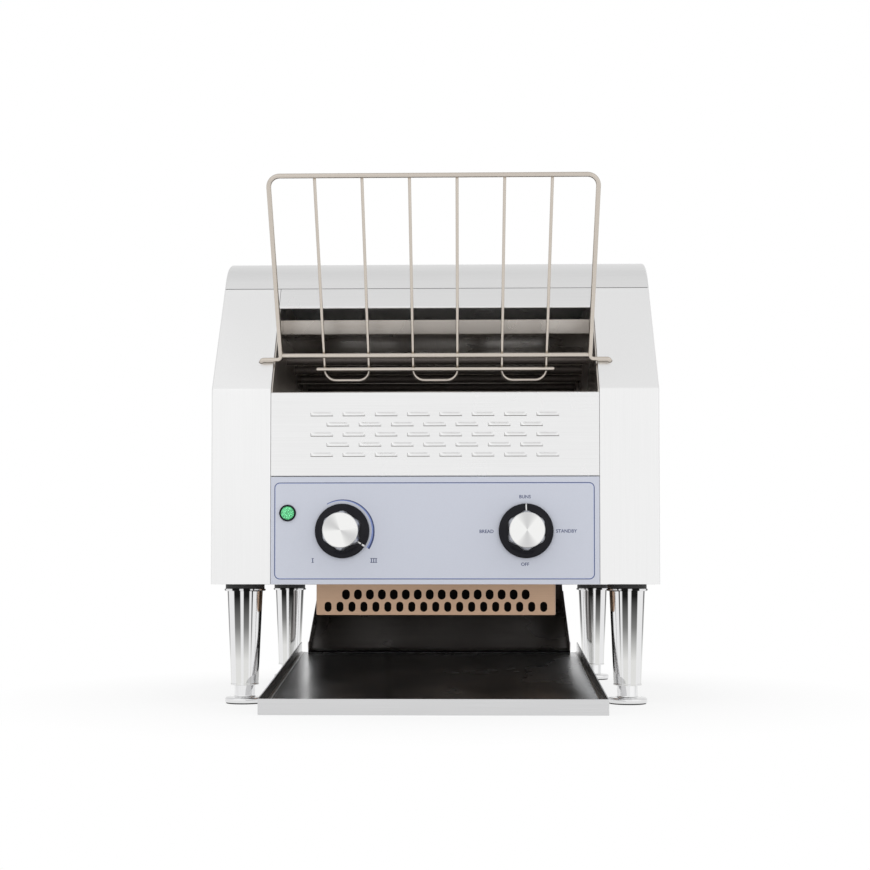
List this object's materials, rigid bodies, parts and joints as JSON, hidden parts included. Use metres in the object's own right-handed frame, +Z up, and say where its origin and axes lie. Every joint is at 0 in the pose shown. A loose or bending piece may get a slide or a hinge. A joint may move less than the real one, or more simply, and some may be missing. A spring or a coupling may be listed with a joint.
{
  "type": "conveyor toaster",
  "caption": "Countertop conveyor toaster with a steel body on tapered legs, sloping wire feed rack, wire belt between heaters, control knobs, exit chute and sliding tray.",
  "frame": {"origin": "on the table under the middle of the whole part, tray and cord gland included", "axes": "+Z up, +Y from the front to the rear, +X to the right as seen from the front"},
  "size_m": [0.368, 0.44, 0.4199],
  "materials": {
    "body_steel": "satin",
    "panel_steel": "satin",
    "printed_face": "satin",
    "inner_steel": "satin",
    "galvanised": "satin",
    "chrome": "polished",
    "bright_wire": "polished",
    "belt_wire": "satin",
    "guard_steel": "satin",
    "tray_steel": "satin",
    "chute_steel": "satin",
    "knob_black": "gloss",
    "knob_silver": "satin",
    "lamp_green": "gloss",
    "lamp_bezel": "gloss",
    "case_plastic": "matte",
    "bronze": "satin",
    "ceramic_white": "matte",
    "heater_sheath": "matte",
    "motor_steel": "satin",
    "chain_steel": "oiled",
    "gland_rubber": "matte"
  },
  "bodies": {
    "body": {"base_plate": "galvanised", "belt_rails": "inner_steel", "cable_gland": "gland_rubber", "control_overlay": "printed_face", "control_panel": "panel_steel", "conveyor_belt": "belt_wire", "crumb_sheet": "inner_steel", "drive_chain": "chain_steel", "entry_header": "body_steel", "exit_chute": "chute_steel", "fan_housing": "case_plastic", "front_left_leg": "chrome", "front_right_leg": "chrome", "gear_motor": "motor_steel", "heat_shield": "galvanised", "heater_caps": "ceramic_white", "lamp_housing": "lamp_bezel", "lamp_lens": "lamp_green", "left_side_cover": "body_steel", "left_side_plate": "inner_steel", "leg_nuts": "chrome", "louvre_panel": "panel_steel", "lower_heaters": "heater_sheath", "mode_switch": "case_plastic", "motor_bracket": "galvanised", "perforated_guard": "guard_steel", "rear_left_leg": "chrome", "rear_panel": "galvanised", "rear_panel_screws": "chrome", "rear_right_leg": "chrome", "right_side_cover": "body_steel", "right_side_plate": "inner_steel", "shaft_bushes": "bronze", "speed_controller": "case_plastic", "terminal_block": "case_plastic", "top_cover": "body_steel", "upper_heaters": "heater_sheath", "upper_reflector": "inner_steel"},
    "speed_knob": {"speed_spindle": "galvanised", "speed_knob_skirt": "knob_black", "speed_knob_grip": "knob_silver"},
    "mode_knob": {"mode_spindle": "galvanised", "mode_knob_skirt": "knob_black", "mode_knob_grip": "knob_silver"},
    "drive": {"drive_shaft": "belt_wire", "drive_sprockets": "belt_wire", "drive_chain_wheel": "chain_steel"},
    "idler": {"idler_shaft": "belt_wire", "idler_sprockets": "belt_wire"},
    "motor_output": {"motor_shaft": "belt_wire", "motor_chain_wheel": "chain_steel"},
    "fan": {"fan_rotor": "case_plastic"},
    "tray": {"collecting_tray": "tray_steel"},
    "rack": {"rack_frame": "bright_wire", "rack_wires": "bright_wire"},
    "foot_front_left": {"front_left_foot": "chrome"},
    "foot_front_right": {"front_right_foot": "chrome"},
    "foot_rear_left": {"rear_left_foot": "chrome"},
    "foot_rear_right": {"rear_right_foot": "chrome"}
  },
  "joints": [
    {"name": "speed_turn", "type": "hinge", "parent": "body", "child": "speed_knob", "pos_m": [-0.0758, -0.158, 0.1436], "axis": [0, 1, 0], "range_deg": [-258, 12]},
    {"name": "mode_turn", "type": "hinge", "parent": "body", "child": "mode_knob", "pos_m": [0.0746, -0.158, 0.1436], "axis": [0, 1, 0], "range_deg": [-180, 90]},
    {"name": "drive_spin", "type": "hinge", "parent": "body", "child": "drive", "pos_m": [0, 0.151, 0.221], "axis": [1, 0, 0], "continuous": true, "deforming": ["conveyor_belt", "drive_chain"]},
    {"name": "idler_spin", "type": "hinge", "parent": "body", "child": "idler", "pos_m": [0, -0.114, 0.221], "axis": [1, 0, 0], "continuous": true, "deforming": ["conveyor_belt"]},
    {"name": "motor_spin", "type": "hinge", "parent": "body", "child": "motor_output", "pos_m": [0.151, 0.10431, 0.1491], "axis": [1, 0, 0], "continuous": true},
    {"name": "fan_spin", "type": "hinge", "parent": "body", "child": "fan", "pos_m": [0, -0.036, 0.112], "axis": [0, 0, 1], "continuous": true},
    {"name": "tray_slide", "type": "slide", "parent": "body", "child": "tray", "axis": [0, -1, 0], "range_m": [0, 0.28]},
    {"name": "rack_lift", "type": "slide", "parent": "body", "child": "rack", "axis": [0, -0.848, 0.5299], "range_m": [0, 0.1]},
    {"name": "front_left_foot_height", "type": "slide", "parent": "body", "child": "foot_front_left", "axis": [0, 0, -1], "range_m": [0, 0.02]},
    {"name": "front_right_foot_height", "type": "slide", "parent": "body", "child": "foot_front_right", "axis": [0, 0, -1], "range_m": [0, 0.02]},
    {"name": "rear_left_foot_height", "type": "slide", "parent": "body", "child": "foot_rear_left", "axis": [0, 0, -1], "range_m": [0, 0.02]},
    {"name": "rear_right_foot_height", "type": "slide", "parent": "body", "child": "foot_rear_right", "axis": [0, 0, -1], "range_m": [0, 0.02]}
  ],
  "couplings": [
    {"joint": "idler_spin", "follows": "drive_spin", "ratio": 1},
    {"joint": "motor_spin", "follows": "drive_spin", "ratio": 1}
  ]
}
